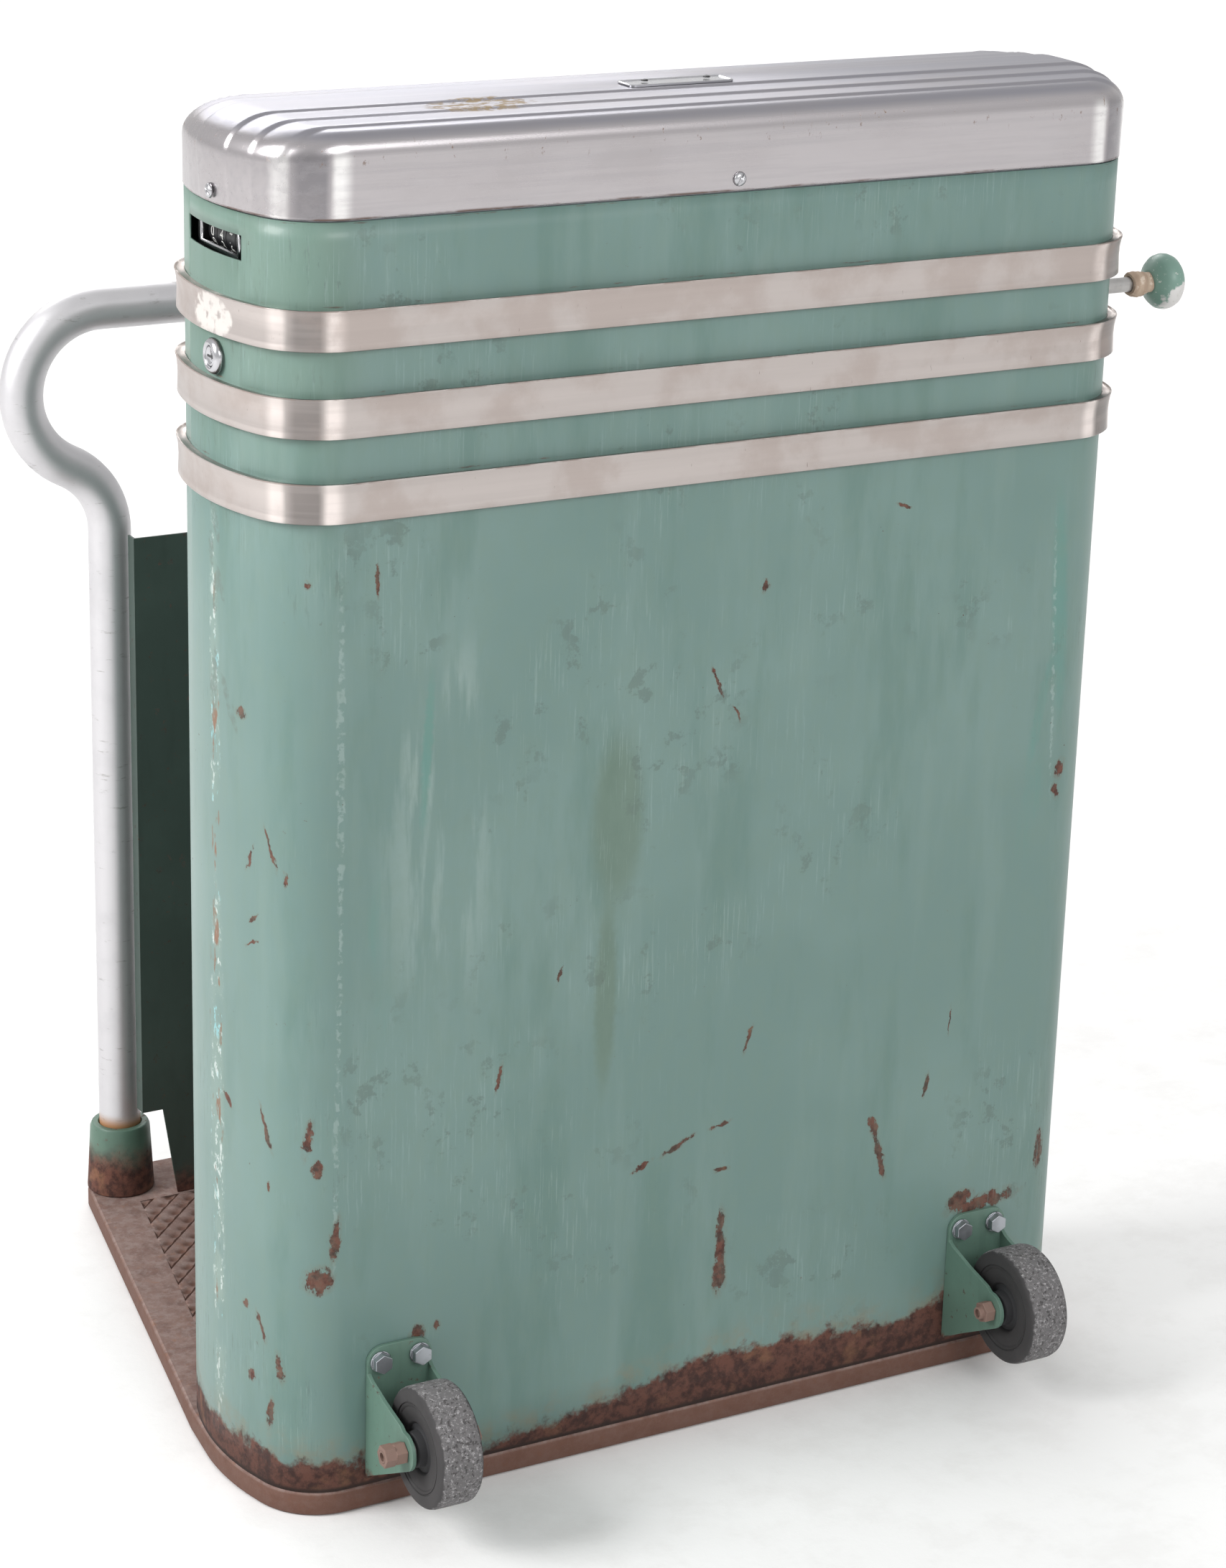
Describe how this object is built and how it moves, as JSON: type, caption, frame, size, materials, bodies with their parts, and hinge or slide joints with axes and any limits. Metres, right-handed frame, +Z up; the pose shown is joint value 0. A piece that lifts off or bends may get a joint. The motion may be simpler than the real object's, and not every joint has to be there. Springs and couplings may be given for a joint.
{
  "type": "portable turnstile",
  "caption": "Portable passenger turnstile: a tall round-ended metal cabinet with a tripod rotor, joined by a tread plate to a looped guide rail, with transport wheels.",
  "frame": {"origin": "on the floor under the middle of the cabinet, at the underside of the base casting", "axes": "+X along the cabinet towards the knob end, +Y from the cabinet across the passage to the guide rail, +Z up; the transport wheels are on the -Y side"},
  "size_m": [0.7664, 0.6725, 0.9846],
  "materials": {
    "green_paint": "worn satin enamel, scratched, rust along the bottom edge",
    "dark_green_paint": "worn satin enamel, rusty at the foot",
    "rusty_cast_iron": "brown surface rust",
    "rusty_steel": "rusted bare steel",
    "brushed_stainless": "brushed",
    "chrome": "polished",
    "black_enamel": "satin",
    "rail_steel": "satin, scuffed at the bends",
    "zinc_plate": "dull zinc plate",
    "wheel_rubber": "matt, worn at the tread",
    "machined_steel": "machined",
    "cast_aluminium": "fine cast",
    "bronze": "turned bearing bronze",
    "tape_wrap": "wound cloth tape"
  },
  "bodies": {
    "frame": {"base_plate": "rusty_cast_iron", "cabinet_shell": "green_paint", "cap_neck_ring": "zinc_plate", "foot_frame": "rusty_steel", "cap": "brushed_stainless", "cap_screw_front": "chrome", "cap_screw_rear": "chrome", "cap_screw_left": "chrome", "cap_screw_right": "chrome", "nameplate": "chrome", "nameplate_rivet_1": "black_enamel", "nameplate_rivet_2": "black_enamel", "band_upper": "brushed_stainless", "band_middle": "brushed_stainless", "band_lower": "brushed_stainless", "rail_tube": "rail_steel", "socket_left": "dark_green_paint", "socket_right": "dark_green_paint", "shield_panel": "dark_green_paint", "wheel_bracket_left": "green_paint", "wheel_bracket_right": "green_paint", "bracket_bolt_left_1": "zinc_plate", "bracket_bolt_left_2": "zinc_plate", "bracket_bolt_right_1": "zinc_plate", "bracket_bolt_right_2": "zinc_plate", "axle_bolt_left": "rusty_steel", "axle_bolt_right": "rusty_steel", "head_housing": "cast_aluminium", "bearing_front": "bronze", "bearing_rear": "bronze", "pawl_pin": "machined_steel", "pawl_spring": "machined_steel", "mechanism_frame": "zinc_plate", "register_case": "black_enamel", "register_bezel": "chrome", "register_bracket": "zinc_plate", "register_shaft": "machined_steel", "lock_body": "chrome", "rod_bush": "bronze"},
    "rotor": {"rotor_hub": "cast_aluminium", "rotor_arm_1": "chrome", "rotor_arm_2": "chrome", "rotor_arm_3": "chrome", "rotor_shaft": "machined_steel", "shaft_collar": "machined_steel", "ratchet_wheel": "machined_steel"},
    "pawl": {"pawl": "machined_steel"},
    "wheel_left": {"wheel_left": "wheel_rubber", "wheel_bush_left": "machined_steel"},
    "wheel_right": {"wheel_right": "wheel_rubber", "wheel_bush_right": "machined_steel"},
    "pull": {"pull_rod": "machined_steel", "knob_collar": "tape_wrap", "knob": "green_paint"},
    "lock": {"lock_plug": "chrome", "lock_cam": "machined_steel"},
    "digit_1": {"digit_wheel_1": "black_enamel"},
    "digit_2": {"digit_wheel_2": "black_enamel"},
    "digit_3": {"digit_wheel_3": "black_enamel"},
    "digit_4": {"digit_wheel_4": "black_enamel"}
  },
  "joints": [
    {"name": "rotor_spin", "type": "hinge", "parent": "frame", "child": "rotor", "pos_m": [0, 0.1345, 0.8125], "axis": [0, -0.7071, 0.7071], "continuous": true},
    {"name": "pawl_lift", "type": "hinge", "parent": "frame", "child": "pawl", "pos_m": [0.046, 0.0574, 0.8698], "axis": [0, 0.7071, -0.7071], "range_deg": [0, 12], "stiffness_Nm_per_rad": 0.02, "springref_deg": -5.73},
    {"name": "wheel_left_spin", "type": "hinge", "parent": "frame", "child": "wheel_left", "pos_m": [-0.243, -0.158, 0.076], "axis": [1, 0, 0], "continuous": true},
    {"name": "wheel_right_spin", "type": "hinge", "parent": "frame", "child": "wheel_right", "pos_m": [0.243, -0.158, 0.076], "axis": [1, 0, 0], "continuous": true},
    {"name": "knob_slide", "type": "slide", "parent": "frame", "child": "pull", "axis": [1, 0, 0], "range_m": [-0.025, 0]},
    {"name": "lock_turn", "type": "hinge", "parent": "frame", "child": "lock", "pos_m": [-0.3395, -0.012, 0.8215], "axis": [-1, 0, 0], "range_deg": [0, 90]},
    {"name": "digit_1_spin", "type": "hinge", "parent": "frame", "child": "digit_1", "pos_m": [-0.314, 0.0208, 0.896], "axis": [0, 1, 0], "continuous": true},
    {"name": "digit_2_spin", "type": "hinge", "parent": "frame", "child": "digit_2", "pos_m": [-0.314, 0.0062, 0.896], "axis": [0, 1, 0], "continuous": true},
    {"name": "digit_3_spin", "type": "hinge", "parent": "frame", "child": "digit_3", "pos_m": [-0.314, -0.0084, 0.896], "axis": [0, 1, 0], "continuous": true},
    {"name": "digit_4_spin", "type": "hinge", "parent": "frame", "child": "digit_4", "pos_m": [-0.314, -0.023, 0.896], "axis": [0, 1, 0], "continuous": true}
  ],
  "couplings": [
    {"joint": "digit_4_spin", "follows": "rotor_spin", "ratio": 0.3},
    {"joint": "digit_3_spin", "follows": "rotor_spin", "ratio": 0.03},
    {"joint": "digit_2_spin", "follows": "rotor_spin", "ratio": 0.003},
    {"joint": "digit_1_spin", "follows": "rotor_spin", "ratio": 0.0003}
  ]
}
